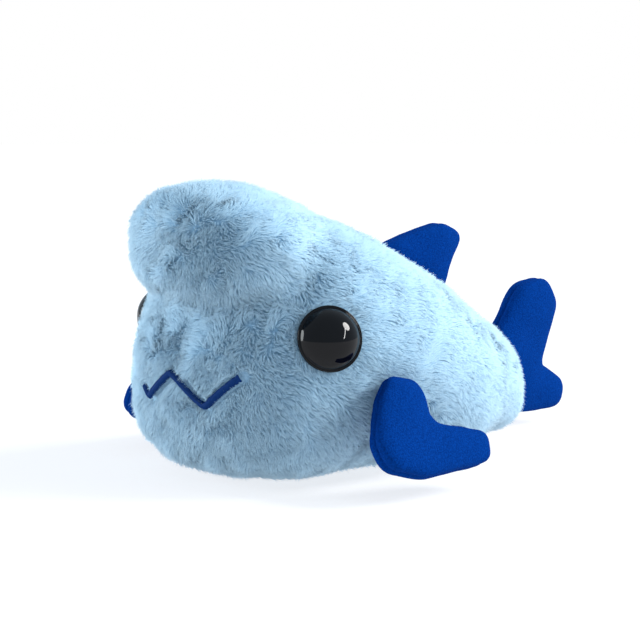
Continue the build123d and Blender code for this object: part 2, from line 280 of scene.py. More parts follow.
def node_material(name):
    material = bpy.data.materials.new(name)
    material.use_nodes = True
    tree = material.node_tree
    return material, tree, tree.nodes["Principled BSDF"]


def ramp(tree, stops):
    node = tree.nodes.new("ShaderNodeValToRGB")
    elements = node.color_ramp.elements
    while len(elements) < len(stops):
        elements.new(0.5)
    for element, (position, colour) in zip(elements, stops):
        element.position = position
        element.color = (*colour, 1.0)
    return node


def strand_material(name, root, middle, tip, dark_tone, light_tone, sheen, specular):
    """Colour from a darker root to a lighter tip (the darker root is painted shade deep in the pile), varied
    from strand to strand, read from the strands' own UV map.
    """
    material, tree, shader = node_material(name)
    uv = tree.nodes.new("ShaderNodeUVMap")
    uv.uv_map = "OFBake"
    split = tree.nodes.new("ShaderNodeSeparateXYZ")
    tree.links.new(uv.outputs["UV"], split.inputs[0])
    # Root to tip: the darker root colour is painted shade deep in the pile.
    way = ramp(tree, [(0.0, root), (0.5, middle), (1.0, tip)])
    tree.links.new(split.outputs["Y"], way.inputs["Fac"])
    tone = ramp(tree, [(0.0, dark_tone), (1.0, light_tone)])
    tree.links.new(split.outputs["X"], tone.inputs["Fac"])
    mix = tree.nodes.new("ShaderNodeMix")
    mix.data_type = "RGBA"
    mix.blend_type = "MULTIPLY"
    mix.inputs["Factor"].default_value = 1.0
    tree.links.new(way.outputs["Color"], mix.inputs["A"])
    tree.links.new(tone.outputs["Color"], mix.inputs["B"])
    tree.links.new(mix.outputs["Result"], shader.inputs["Base Color"])
    shader.inputs["Roughness"].default_value = 0.75
    shader.inputs["Specular IOR Level"].default_value = specular
    shader.inputs["Sheen Weight"].default_value = sheen
    shader.inputs["Sheen Roughness"].default_value = 0.5
    return material


def fabric_material(name, dark, light, scale, bump, roughness):
    """Fabric with fine mottling and bump."""
    material, tree, shader = node_material(name)
    noise = tree.nodes.new("ShaderNodeTexNoise")
    noise.inputs["Scale"].default_value = scale
    noise.inputs["Detail"].default_value = 5.0
    coordinates = tree.nodes.new("ShaderNodeTexCoord")
    tree.links.new(coordinates.outputs["Object"], noise.inputs["Vector"])
    colours = ramp(tree, [(0.35, dark), (0.65, light)])
    tree.links.new(noise.outputs["Fac"], colours.inputs["Fac"])
    tree.links.new(colours.outputs["Color"], shader.inputs["Base Color"])
    relief = tree.nodes.new("ShaderNodeBump")
    relief.inputs["Strength"].default_value = bump
    relief.inputs["Distance"].default_value = 0.0006
    tree.links.new(noise.outputs["Fac"], relief.inputs["Height"])
    tree.links.new(relief.outputs["Normal"], shader.inputs["Normal"])
    shader.inputs["Roughness"].default_value = roughness
    shader.inputs["Specular IOR Level"].default_value = 0.02
    return material


# Body pile: roots darker than tips, which is painted shade deep in the pile.
FUR = strand_material("fur_pile", (0.34, 0.56, 0.74), (0.44, 0.67, 0.84), (0.53, 0.75, 0.90),
                      (0.88, 0.91, 0.94), (1.0, 1.0, 1.0), sheen=0.2, specular=0.15)
FUR_BACKING = fabric_material("fur_backing", (0.30, 0.50, 0.68), (0.36, 0.57, 0.75), 900.0, 0.4, 0.95)
# Fin nap: roots darker than tips, which is painted shade deep in the nap.
NAP = strand_material("fin_nap", (0.0, 0.022, 0.15), (0.0006, 0.046, 0.29), (0.0015, 0.062, 0.37),
                      (0.72, 0.76, 0.82), (1.0, 1.0, 1.0), sheen=0.0, specular=0.02)
FLEECE = fabric_material("fin_fleece", (0.0, 0.022, 0.15), (0.0006, 0.040, 0.25), 1400.0, 0.6, 0.95)


# ---------------------------------------------------------------- body form

def station_height(places):
    """Station and height in the seams' millimetres."""
    return (places[:, 1] - STATION_ZERO) / MM, (places[:, 2] + BASE_CUT) / MM


def panel_of(places):
    """0 belly, 1 snout, 2 left side, 3 right side, for each place."""
    station, height = station_height(places)
    belly = height < np.interp(station, *zip(*BELLY_SEAM))
    (station_a, height_a), (station_b, height_b) = SNOUT_SEAM
    line = station_a + (height - height_a) * (station_b - station_a) / (height_b - height_a)
    return np.where(belly, 0, np.where(station < line, 1, np.where(places[:, 0] > 0, 2, 3)))


def eye_plug(mirrored):
    """A disc that fills an eye's seat in the form, so that the fabric runs on under the button."""
    place, axis = EYE_PLACE.copy(), EYE_AXIS.copy()
    if mirrored:
        place.x, axis.x = -place.x, -axis.x
    mesh = bpy.data.meshes.new("eye_plug")
    work = bmesh.new()
    turn = axis.to_track_quat("Z", "Y").to_matrix().to_4x4()
    move = Matrix.Translation(place - axis * 3.6 * MM)
    bmesh.ops.create_cone(work, cap_ends=True, segments=48, radius1=EYE_RADIUS * 1.06,
                          radius2=EYE_RADIUS * 0.9, depth=6 * MM, matrix=move @ turn)
    work.to_mesh(mesh)
    work.free()
    return mesh


def body_form():
    """The body's fabric backing as one closed mesh, with slight lumps."""
    names = ["left_side_panel", "right_side_panel", "belly_panel", "snout_panel", "body_stuffing",
             "mouth_stitching", "left_pectoral_root_tab", "right_pectoral_root_tab", "dorsal_root_tab",
             "tail_root_tab"]
    sources = [frame["nodes"][name].data for name in names] + [eye_plug(False), eye_plug(True)]
    form = voxel_form("body_form", sources, FORM_VOXEL)
    places, _, _ = mesh_arrays(form.data)
    places = neighbour_smooth(form.data, places, 12)
    set_places(form.data, places)
    places, normals, _ = mesh_arrays(form.data)
    lumps = waves(places, 55 * MM, 21) * 0.7 * MM + waves(places, 24 * MM, 22) * 0.35 * MM
    places = places - normals * PILE_DEPTH + normals * lumps[:, None]
    places = neighbour_smooth(form.data, places, 6)
    places[:, 2] = np.maximum(places[:, 2], LOWEST_BACKING)
    set_places(form.data, places)
    return form


def panel_piece(form, number, name):
    """The backing of one panel, as a closed sheet as thick as the fabric."""
    work = bmesh.new()
    work.from_mesh(form.data)
    work.faces.ensure_lookup_table()
    centres = np.array([face.calc_center_median() for face in work.faces])
    unwanted = [work.faces[index] for index in np.where(panel_of(centres) != number)[0]]
    bmesh.ops.delete(work, geom=unwanted, context="FACES")
    mesh = bpy.data.meshes.new(name)
    work.to_mesh(mesh)
    work.free()
    mesh.materials.clear()
    mesh.materials.append(FUR_BACKING)
    for polygon in mesh.polygons:
        polygon.use_smooth = True
    obj = link(bpy.data.objects.new(name, mesh))
    thicken = obj.modifiers.new("thickness", "SOLIDIFY")
    thicken.thickness = BACKING
    thicken.offset = -1.0
    select_only(obj)
    bpy.ops.object.modifier_apply(modifier=thicken.name)
    return obj


# ---------------------------------------------------------------- fur

def surface_samples(places, normals, triangles, per_mm2, source):
    """Evenly spread random places on a mesh, with their normals."""
    a, b, c = places[triangles[:, 0]], places[triangles[:, 1]], places[triangles[:, 2]]
    areas = np.linalg.norm(np.cross(b - a, c - a), axis=1) / 2
    count = int(areas.sum() / MM ** 2 * per_mm2)
    steps = (np.arange(count) + source.uniform(0, 1, count)) / count
    chosen = np.searchsorted(np.cumsum(areas) / areas.sum(), steps)
    chosen = np.minimum(chosen, len(triangles) - 1)
    first, second = source.uniform(0, 1, count), source.uniform(0, 1, count)
    over = first + second > 1
    first[over], second[over] = 1 - first[over], 1 - second[over]
    third = 1 - first - second
    corner = triangles[chosen]
    mix = [third[:, None], first[:, None], second[:, None]]
    where = sum(share * places[corner[:, k]] for k, share in enumerate(mix))
    facing = unit(sum(share * normals[corner[:, k]] for k, share in enumerate(mix)))
    return where, facing


def nap_direction(places, normals):
    """The way the pile lies: back and down from the snout, with swirls."""
    flow = np.tile([0.0, 0.75, -0.62], (len(places), 1))
    flow += wave_vectors(places, 60 * MM, 31) * 0.45
    flow += wave_vectors(places, 17 * MM, 41) * 0.55
    flow += wave_vectors(places, 8 * MM, 44) * 0.28
    flow -= normals * (flow * normals).sum(axis=1, keepdims=True)
    return unit(flow)


def eye_distances(places):
    """Distance from the nearer eye's axis, and the direction away from it."""
    mirrored = places.copy()
    mirrored[:, 0] = np.abs(mirrored[:, 0])
    offset = mirrored - np.array(EYE_PLACE)
    axis = np.array(EYE_AXIS)
    flat = offset - (offset @ axis)[:, None] * axis
    away = unit(flat)
    away[:, 0] *= np.where(places[:, 0] < 0, -1.0, 1.0)
    far = np.where(np.abs(offset @ axis) > EYE_REACH, 1.0, np.linalg.norm(flat, axis=1))
    return far, away


def mouth_distances(places):
    """Distance from the mouth's line as seen from the front, and the direction away from it."""
    flat = np.stack([places[:, 0], places[:, 2] + BASE_CUT], axis=1)
    best = np.full(len(places), 1.0)
    away = np.zeros((len(places), 3))
    corners = np.array(MOUTH_CORNERS) * MM
    for start, end in zip(corners[:-1], corners[1:]):
        run = end - start
        share = np.clip(((flat - start) @ run) / (run @ run), 0, 1)
        offset = flat - (start + share[:, None] * run)
        distance = np.linalg.norm(offset, axis=1)
        nearer = distance < best
        best = np.where(nearer, distance, best)
        away[nearer, 0] = offset[nearer, 0]
        away[nearer, 2] = offset[nearer, 1]
    best = np.where(places[:, 1] - STATION_ZERO > MOUTH_BACK, 1.0, best)
    return best, unit(away)


def grow_fur(form):
    """The pile of the whole body, as pieces of strands for each panel."""
    places, normals, triangles = mesh_arrays(form.data)
    roots, facing = surface_samples(places, normals, triangles, STRANDS_PER_MM2, rng)
    from_eye, eye_away = eye_distances(roots)
    from_mouth, mouth_away = mouth_distances(roots)
    kept = (from_eye > EYE_CLEARANCE) & (from_mouth > MOUTH_CLEARANCE)
    roots, facing = roots[kept], facing[kept]
    from_eye, eye_away = from_eye[kept], eye_away[kept]
    from_mouth, mouth_away = from_mouth[kept], mouth_away[kept]
    count = len(roots)

    lie = nap_direction(roots, facing)
    by_eye = fade(from_eye, 13 * MM, 7 * MM)
    by_mouth = fade(from_mouth, 1.5 * MM, 3.5 * MM)
    lie = unit(lie + eye_away * by_eye * 1.6 + mouth_away * by_mouth * 1.8)
    lie = unit(lie - facing * (lie * facing).sum(axis=1, keepdims=True))
    lie = unit(lie + rng.normal(size=(count, 3)) * 0.16)

    underside = fade(roots[:, 2], 3 * MM, 9 * MM)
    length = STRAND_LENGTH * rng.uniform(0.72, 1.18, (count, 1))
    length *= 1 - 0.38 * by_eye - 0.35 * by_mouth
    rise = rng.normal(0.0, 0.13, (count, 1)) + waves(roots, 14 * MM, 51)[:, None] * 0.10
    low_angle = np.clip(PILE_LEAN + rise + underside * 0.75 + by_mouth * 0.3 + by_eye * 0.3, 0.1, 1.5)
    high_angle = np.clip(low_angle + PILE_CURL, 0.3, 1.55)
    middles = roots + length * 0.5 * (facing * np.cos(low_angle) + lie * np.sin(low_angle))
    tips = middles + length * 0.5 * (facing * np.cos(high_angle) + lie * np.sin(high_angle))

    # Clumps: each strand leans towards the tip of its clump's own strand.
    clump_count = int(count / STRANDS_PER_MM2 / CLUMP_AREA_MM2)
    leaders = rng.choice(count, clump_count, replace=False)
    tree = kdtree.KDTree(clump_count)
    for index, leader in enumerate(leaders):
        tree.insert(roots[leader] + (tips[leader] - roots[leader]) * CLUMP_MATCH, index)
    tree.balance()
    nearest = np.array([tree.find(place)[1] for place in roots + (tips - roots) * CLUMP_MATCH])
    target = tips[leaders][nearest]
    pull = rng.uniform(0.05, 0.42, (count, 1)) * (1 - 0.5 * by_mouth)
    stray = rng.uniform(0, 1, (count, 1)) < 0.06
    pull = np.where(stray, 0.0, pull)
    tips = tips + (target - tips) * pull
    middles = middles + (target - middles) * pull * 0.3
    middles[:, 2] = np.maximum(middles[:, 2], 0.5 * MM)
    tips[:, 2] = np.maximum(tips[:, 2], 0.3 * MM)

    clump_tone = rng.uniform(0, 1, clump_count)[nearest]
    tones = 0.45 * clump_tone + 0.35 * rng.uniform(0, 1, count) + 0.1 * waves(roots, 30 * MM, 61) + 0.1
    tones = np.clip(tones, 0.01, 0.99)
    half_width = STRAND_HALF_WIDTH * rng.uniform(0.7, 1.25, count)
    panel = panel_of(roots)
    station, _ = station_height(roots)
    pieces = {}
    for number, name in enumerate(PANELS):
        on_panel = np.where(panel == number)[0]
        on_panel = on_panel[np.argsort(station[on_panel], kind="stable")]
        piece_count = int(np.ceil(len(on_panel) / STRANDS_PER_PIECE))
        for part, chosen in enumerate(np.array_split(on_panel, piece_count)):
            title = f"{name}_pile_{part + 1}"
            sunk = roots[chosen] - facing[chosen] * 0.3 * MM
            pieces[title] = strand_mesh(title, sunk, middles[chosen], tips[chosen], facing[chosen],
                                        half_width[chosen], tones[chosen], FUR)
    return pieces


form = body_form()
for number, name in enumerate(PANELS):
    backing = panel_piece(form, number, f"{name}_backing")
    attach(backing, "body")
    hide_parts(f"{name}_panel")
for name, pile in grow_fur(form).items():
    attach(pile, "body")


# ---------------------------------------------------------------- fins

# Corners are (along the root, away from it, corner radius) in millimetres, from the root's near end to its
# far end and back. Those in far are measured along from the root's far end.
def fin_corner_list(length, far, near):
    corners = [(0.0, 0.0, 6.2), (length, 0.0, 6.2)]
    corners += [(length + along, away, radius) for along, away, radius in far]
    return corners + list(near)


# Each fin: the joint it turns on, 1 or -1 for the way its root runs along that joint's axis, the side of the
# toy it leads out to, how far it droops in degrees, and its thickness in millimetres. The right pectoral fin
# is the left one mirrored.
PECTORAL = dict(
    joint="left_pectoral_lift", turn=-1, leads=(1, 0, 0), droop=62.0, thickness=11.0,
    panels=("upper", "lower"),
    corners=fin_corner_list(17.0, [(4, 19, 8), (37.5, 19, 6.5), (36, 32.5, 6.5)],
                            [(14, 44, 28), (-7.5, 43.5, 10), (-12, 31, 12), (-5.5, 10, 18)]))
FINS = {
    "left_pectoral": dict(PECTORAL, mirrored=False),
    "right_pectoral": dict(PECTORAL, mirrored=True),
    "dorsal": dict(
        joint="dorsal_sway", turn=1, leads=(0, 0, 1), droop=0.0, thickness=11.0, mirrored=False,
        panels=("left", "right"),
        corners=fin_corner_list(50.5, [(-4, 20, 30), (-3.5, 34.5, 8.2)], [(31, 32.5, 13), (13.5, 15.5, 30)])),
    "tail": dict(
        joint="tail_sway", turn=1, leads=(0, 1, 0), droop=0.0, thickness=12.0, mirrored=False,
        panels=("left", "right"),
        corners=fin_corner_list(34.1, [(28, 24, 16), (29, 43.5, 10), (14, 51, 10)],
                                [(17, 36, 5), (4, 54.5, 8), (-8.5, 50, 7.5), (-7, 21, 40)])),
}
ROOT_EXTENSION = 1.0      # mm of fabric that runs on into the body's pile
ROOT_BAND = 3.0           # mm from the root in which the outline is drawn down by that
FIN_STEP = 1.15           # mm between points of a fin's mesh
SEAM_RAISE = 0.02         # mm that a fabric stands off the fin's middle at the seam
FLEECE_THICKNESS = 1.2 * MM
NAP_PER_MM2 = 2.6
NAP_LENGTH = 0.95 * MM
NAP_HALF_WIDTH = 0.16 * MM

# A stuffed fin's section, as (mm in from the flat outline, mm in from it once stuffed, share of half the
# thickness).
FIN_SECTION = [(0.0, 1.3, 0.0), (0.3, 0.85, 0.07), (0.65, 0.45, 0.16), (1.05, 0.17, 0.26), (1.5, 0.05, 0.36),
               (2.0, 0.10, 0.46), (2.6, 0.40, 0.56), (3.3, 0.95, 0.65), (4.1, 1.75, 0.73), (6.0, 4.0, 0.86),
               (9.0, 7.9, 0.98), (13.0, 12.6, 1.08), (40.0, 40.0, 1.15)]
RING_INSETS = [row[0] for row in FIN_SECTION[1:9]]      # where a fin's mesh has rows beside its outline


def rounded_outline(corners, step=0.8):
    """The closed outline with its corners rounded by about their radii, as points about step apart."""
    points = []
    count = len(corners)
    for index in range(count):
        before = np.array(corners[index - 1][:2], dtype=float)
        here = np.array(corners[index][:2], dtype=float)
        after = np.array(corners[(index + 1) % count][:2], dtype=float)
        radius = corners[index][2]
        to_before, to_after = unit(before - here), unit(after - here)
        half = np.arccos(np.clip(to_before @ to_after, -1, 1)) / 2
        shorter = min(np.linalg.norm(before - here), np.linalg.norm(after - here))
        reach = min(radius / np.tan(half), 0.48 * shorter)
        start, end = here + to_before * reach, here + to_after * reach
        steps = max(2, int(np.ceil(reach * 2 / step)))
        for share in np.linspace(0, 1, steps + 1):
            points.append((1 - share) ** 2 * start + 2 * share * (1 - share) * here + share ** 2 * end)
    points = np.array(points)
    closed = np.vstack([points, points[:1]])
    runs = np.linalg.norm(np.diff(closed, axis=0), axis=1)
    lengths = np.concatenate([[0], np.cumsum(runs)])
    samples = np.linspace(0, lengths[-1], int(lengths[-1] / step), endpoint=False)
    return np.stack([np.interp(samples, lengths, closed[:, axis]) for axis in range(2)], axis=1)


def outline_distance(points, outline):
    """Each point's distance to the outline and the direction from it straight out to the outline."""
    best = np.full(len(points), 1e9)
    out = np.zeros((len(points), 2))
    ends = np.roll(outline, -1, axis=0)
    for start, end in zip(outline, ends):
        run = end - start
        share = np.clip(((points - start) @ run) / (run @ run + 1e-12), 0, 1)
        offset = start + share[:, None] * run - points
        distance = np.linalg.norm(offset, axis=1)
        nearer = distance < best
        best = np.where(nearer, distance, best)
        out[nearer] = offset[nearer]
    return best, unit(out)


def inside_outline(points, outline):
    crossings = np.zeros(len(points), dtype=int)
    for start, end in zip(outline, np.roll(outline, -1, axis=0)):
        spans = (start[1] > points[:, 1]) != (end[1] > points[:, 1])
        with np.errstate(divide="ignore", invalid="ignore"):
            x = start[0] + (points[:, 1] - start[1]) / (end[1] - start[1]) * (end[0] - start[0])
        crossings += spans & (points[:, 0] < x)
    return crossings % 2 == 1


def fin_frame(fin):
    """The fin's place in millimetres and its directions: along its root, away from it, and across."""
    joint = JOINTS[fin["joint"]]
    along, leads = Vector(joint["axis"]) * fin["turn"], Vector(fin["leads"])
    outward = (leads - along * leads.dot(along)).normalized()
    turn = Matrix.Rotation(radians(fin["droop"]), 3, along)
    if (turn @ outward).z > outward.z:
        turn = Matrix.Rotation(-radians(fin["droop"]), 3, along)
    away = (turn @ outward).normalized() if fin["droop"] else outward.normalized()
    across = away.cross(along).normalized()
    origin = Vector(joint["pos_m"]) / MM - away * fin["thickness"] / 2
    return np.array(origin), np.array(along.normalized()), np.array(away), np.array(across)


def root_outline(fin):
    """The fin's outline, with its root drawn on into the body."""
    outline = rounded_outline(fin["corners"])
    low = outline[:, 1] < ROOT_BAND
    outline[low, 1] -= ROOT_EXTENSION * (1 - outline[low, 1] / ROOT_BAND)
    return outline


def sheet_points(outline, inward):
    """Points for a fin's flat mesh: its outline, rows close beside it and a grid inside them."""
    (left, bottom), (right, top) = outline.min(axis=0), outline.max(axis=0)
    grid = np.array([(x + (0.5 * FIN_STEP if index % 2 else 0.0), y)
                     for index, y in enumerate(np.arange(bottom, top, FIN_STEP * 0.87))
                     for x in np.arange(left, right, FIN_STEP)])
    grid = grid[inside_outline(grid, outline)]
    distance, _ = outline_distance(grid, outline)
    grid = grid[distance > RING_INSETS[-1] + 0.6]
    rings = []
    for inset in RING_INSETS:
        ring = outline + inward * inset
        distance, _ = outline_distance(ring, outline)
        rings.append(ring[(distance > inset * 0.96) & inside_outline(ring, outline)])
    return np.vstack([outline, *rings, grid])


def fin_sheet(fin, side, seed):
    """One fabric of a stuffed fin, as places and triangles: side is 1 or -1 across the thickness."""
    outline = root_outline(fin)
    run = unit(np.roll(outline, -1, axis=0) - np.roll(outline, 1, axis=0))
    inward = np.stack([-run[:, 1], run[:, 0]], axis=1)
    points = sheet_points(outline, inward)
    edges = [(index, (index + 1) % len(outline)) for index in range(len(outline))]
    flat, _, faces, _, _, _ = delaunay_2d_cdt([Vector(point) for point in points], edges, [], 1, 1e-5)
    flat = np.array([tuple(point) for point in flat])
    distance, out = outline_distance(flat, outline)
    on_seam = distance < 1e-4
    nearest = np.linalg.norm(flat[on_seam][:, None] - outline[None], axis=2).argmin(axis=1)
    out[on_seam] = -inward[nearest]
    flat_rows, inset_rows, full_rows = zip(*FIN_SECTION)
    raised = fin["thickness"] / 2 * np.interp(distance, flat_rows, full_rows)
    shift = distance - np.interp(distance, flat_rows, inset_rows)

    # Gathers run in from the seam, and the middle is slightly lumpy.
    on_side = np.stack([flat[:, 0], flat[:, 1], np.full(len(flat), float(side))], axis=1)
    level = np.stack([flat[:, 0], flat[:, 1], np.zeros(len(flat))], axis=1)
    gather = waves(on_side, 8.0, seed) * 0.28 * np.exp(-distance / 4.5) * np.clip(distance / 2.0, 0, 1)
    lumps = waves(on_side, 24.0, seed + 5) * 0.35 * np.clip(distance / 5.0, 0, 1)
    raised = raised + gather + lumps
    ends = waves(level, 14.0, seed // 10 + 77) * 0.25
    ends = ends - 0.5
    shift = shift + ends * np.exp(-distance / 3.0)

    root = np.clip(1 - flat[:, 1] / 6.0, 0, 1)
    raised = np.maximum(raised * (1 - 0.45 * root), SEAM_RAISE)
    raised[on_seam] = SEAM_RAISE
    bend = waves(level, 70.0, 91) * 0.5
    bend = bend * np.clip(flat[:, 1] / 20.0, 0, 1)
    origin, along, away, across = fin_frame(fin)
    where = flat + out * shift[:, None]
    places = origin + where[:, :1] * along + where[:, 1:] * away + (side * raised + bend)[:, None] * across
    faces = [tuple(face) for face in faces]
    triangle = places[list(faces[0])]
    facing = np.cross(triangle[1] - triangle[0], triangle[2] - triangle[0])
    if (facing @ across) * side < 0:
        faces = [face[::-1] for face in faces]
    if fin["mirrored"]:
        places = places * MIRROR
        faces = [face[::-1] for face in faces]
    return places * MM, faces


def rim_vertices(mesh):
    """Which vertices are on an open mesh's edge."""
    rim = np.zeros(len(mesh.vertices), dtype=bool)
    work = bmesh.new()
    work.from_mesh(mesh)
    for edge in work.edges:
        if edge.is_boundary:
            for vertex in edge.verts:
                rim[vertex.index] = True
    work.free()
    return rim


def grow_nap(name, fabric, away, seed):
    """The short nap over one open fabric."""
    places, normals, triangles = mesh_arrays(fabric.data)
    roots, facing = surface_samples(places, normals, triangles, NAP_PER_MM2, rng)
    count = len(roots)
    lie = np.tile(away, (count, 1)) * 0.5 + wave_vectors(roots, 12 * MM, 71 + seed) * 0.7
    lie = unit(lie - facing * (lie * facing).sum(axis=1, keepdims=True))
    length = NAP_LENGTH * rng.uniform(0.6, 1.25, (count, 1))
    tilt = np.clip(0.55 + rng.normal(0, 0.3, (count, 1)), 0.0, 1.3)
    middles = roots + length * 0.5 * (facing * np.cos(tilt) + lie * np.sin(tilt))
    tips = middles + length * 0.5 * (facing * np.cos(tilt + 0.4) + lie * np.sin(tilt + 0.4))
    tones = np.clip(rng.uniform(0, 1, count) * 0.9 + 0.1 * waves(roots, 10 * MM, 81), 0.01, 0.99)
    half_width = NAP_HALF_WIDTH * rng.uniform(0.7, 1.3, count)
    return strand_mesh(name, roots - facing * 0.15 * MM, middles, tips, facing, half_width, tones, NAP)


def fin_pieces(name, fin, seed):
    """The two fabrics of a fin and their nap."""
    made = []
    _, _, away, _ = fin_frame(fin)
    if fin["mirrored"]:
        away = away * MIRROR
    for side, panel, part in ((1, fin["panels"][0], 0), (-1, fin["panels"][1], 1)):
        places, faces = fin_sheet(fin, side, seed + part * 2)
        fabric = new_mesh_object(f"{name}_{panel}_fleece", places, faces, FLEECE)
        smooth = neighbour_smooth(fabric.data, places, 2)
        rim = rim_vertices(fabric.data)
        smooth[rim] = places[rim]
        set_places(fabric.data, smooth)
        nap = grow_nap(f"{name}_{panel}_nap", fabric, away, seed)
        thicken = fabric.modifiers.new("thickness", "SOLIDIFY")
        thicken.thickness = FLEECE_THICKNESS
        thicken.offset = -1.0
        select_only(fabric)
        bpy.ops.object.modifier_apply(modifier=thicken.name)
        made.append((fabric, nap, panel))
    return made


for index, (name, fin) in enumerate(FINS.items()):
    for fabric, nap, panel in fin_pieces(name, fin, 100 + 10 * index):
        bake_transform(fabric)
        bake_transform(nap)
        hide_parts(f"{name}_{panel}_panel")


# ---------------------------------------------------------------- eyes, mouth and closing stitches

def plain_material(name, colour, roughness, specular=0.5):
    material, _, shader = node_material(name)
    shader.inputs["Base Color"].default_value = (*colour, 1.0)
    shader.inputs["Roughness"].default_value = roughness
    shader.inputs["Specular IOR Level"].default_value = specular
    return material


EYE_PLASTIC = plain_material("eye_plastic", (0.002, 0.002, 0.003), 0.05, specular=0.22)
THREAD = plain_material("mouth_thread", (0.003, 0.030, 0.14), 0.7, specular=0.08)
CLOSING_THREAD = plain_material("closing_thread", (0.30, 0.50, 0.70), 0.6)
WASHER = plain_material("washer_plastic", (0.75, 0.76, 0.76), 0.4)
FIBRE = fabric_material("fibre_fill", (0.78, 0.78, 0.76), (0.9, 0.9, 0.88), 400.0, 0.8, 0.95)


def lathe(name, profile, place, axis, segments, material):
    """A closed shape turned from (radius, height) points about an axis, its first and last points on it."""
    turn = np.array(axis.to_track_quat("Z", "Y").to_matrix())
    points = []
    rings = []
    for radius, height in profile:
        if radius < 1e-9:
            rings.append([len(points)])
            points.append((0.0, 0.0, height))
        else:
            angles = np.linspace(0, 2 * pi, segments, endpoint=False)
            rings.append(list(range(len(points), len(points) + segments)))
            points += [(radius * cos(angle), radius * sin(angle), height) for angle in angles]
    faces = []
    for lower, upper in zip(rings[:-1], rings[1:]):
        for index in range(segments):
            after = (index + 1) % segments
            if len(lower) == 1:
                faces.append((lower[0], upper[after], upper[index]))
            elif len(upper) == 1:
                faces.append((lower[index], lower[after], upper[0]))
            else:
                faces.append((lower[index], lower[after], upper[after], upper[index]))
    places = np.array(points) @ turn.T + np.array(place)
    return new_mesh_object(name, places, faces, material)


def eye_profile():
    """From the back of the shank, out round the flange and over the dome."""
    radius = EYE_RADIUS
    points = [(0.0, -19.0 * MM), (2.3 * MM, -19.0 * MM), (2.4 * MM, -18.5 * MM),
              (2.4 * MM, -EYE_SINK - 0.4 * MM), (3.2 * MM, -EYE_SINK), (radius - 1.0 * MM, -EYE_SINK),
              (radius - 0.3 * MM, -EYE_SINK + 0.3 * MM), (radius, -EYE_SINK + 1.0 * MM)]
    rim_top = -EYE_SINK + EYE_RIM
    points += [(radius, rim_top - 0.7 * MM), (radius - 0.2 * MM, rim_top - 0.15 * MM),
               (radius - 0.6 * MM, rim_top), (radius - 0.95 * MM, rim_top - 0.12 * MM),
               (radius - 1.15 * MM, rim_top - 0.05 * MM)]
    base = radius - 1.2 * MM
    ball = (base ** 2 + EYE_DOME ** 2) / (2 * EYE_DOME)
    widest = np.arcsin(base / ball)
    centre = rim_top + EYE_DOME - ball
    for angle in np.linspace(widest * 0.985, 0, 28):
        points.append((ball * sin(angle) if angle > 0 else 0.0, centre + ball * cos(angle)))
    return points


for name, sign in (("left_eye", 1), ("right_eye", -1)):
    place = Vector((EYE_PLACE.x * sign, EYE_PLACE.y, EYE_PLACE.z))
    axis = Vector((EYE_AXIS.x * sign, EYE_AXIS.y, EYE_AXIS.z))
    button = lathe(f"{name}_button", eye_profile(), place, axis, 160, EYE_PLASTIC)
    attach(button, "body")
    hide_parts(name)


FORM_TREE = bvhtree.BVHTree.FromObject(form, bpy.context.evaluated_depsgraph_get())


def thread_mesh(name, paths, radius, material, sides=6):
    """Closed threads, each through the points of one path, rounded off at its ends."""
    points, faces = [], []
    for path in paths:
        path = np.array(path)
        runs = unit(np.gradient(path, axis=0))
        reference = np.array([0.3, 0.5, 0.8])
        side = unit(np.cross(runs, reference))
        other = np.cross(runs, side)
        shares = np.linspace(0, 1, len(path))
        taper = np.sqrt(np.clip(1 - (2 * shares - 1) ** 6, 0.06, 1))
        base = len(points)
        for place, first, second, size in zip(path, side, other, taper):
            for index in range(sides):
                angle = 2 * pi * index / sides
                points.append(place + radius * size * (first * cos(angle) + second * sin(angle)))
        for ring in range(len(path) - 1):
            for index in range(sides):
                a = base + ring * sides + index
                b = base + ring * sides + (index + 1) % sides
                faces.append((a, b, b + sides, a + sides))
        faces.append(tuple(base + index for index in reversed(range(sides))))
        faces.append(tuple(base + (len(path) - 1) * sides + index for index in range(sides)))
    return new_mesh_object(name, points, faces, material)


def on_front(x, height):
    """The place and normal on the backing straight behind a point seen from the front."""
    hit, normal, _, _ = FORM_TREE.ray_cast(Vector((x, -0.4, height - BASE_CUT)), Vector((0, 1, 0)))
    return np.array(hit), np.array(normal)


def mouth():
    """Satin stitches side by side across the mouth's line."""
    corners = np.array(MOUTH_CORNERS) * MM
    runs = np.linalg.norm(np.diff(corners, axis=0), axis=1)
    lengths = np.concatenate([[0], np.cumsum(runs)])
    samples = np.arange(0, lengths[-1], 0.42 * MM)
    line = np.stack([np.interp(samples, lengths, corners[:, axis]) for axis in range(2)], axis=1)
    kernel = np.ones(9) / 9
    padded_line = np.pad(line, ((4, 4), (0, 0)), mode="edge")
    line = np.stack([np.convolve(padded_line[:, axis], kernel, mode="valid") for axis in range(2)], axis=1)
    direction = unit(np.gradient(line, axis=0))
    paths = []
    for (x, height), run in zip(line, direction):
        across = np.array([-run[1], run[0]])
        width = rng.uniform(1.55, 1.95) * MM
        slant = run * rng.normal(0, 0.12) * MM
        path = []
        for share in np.linspace(-1, 1, 7):
            flat = np.array([x, height]) + across * width * share + slant * share
            place, normal = on_front(*flat)
            lift = 2.3 + 1.3 * np.sqrt(max(0.0, 1 - share ** 2))
            path.append(place + normal * lift * MM)
        paths.append(path)
    return thread_mesh("mouth_satin", paths, 0.3 * MM, THREAD)


stitched_mouth = mouth()
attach(stitched_mouth, "body")
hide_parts("mouth_stitching")


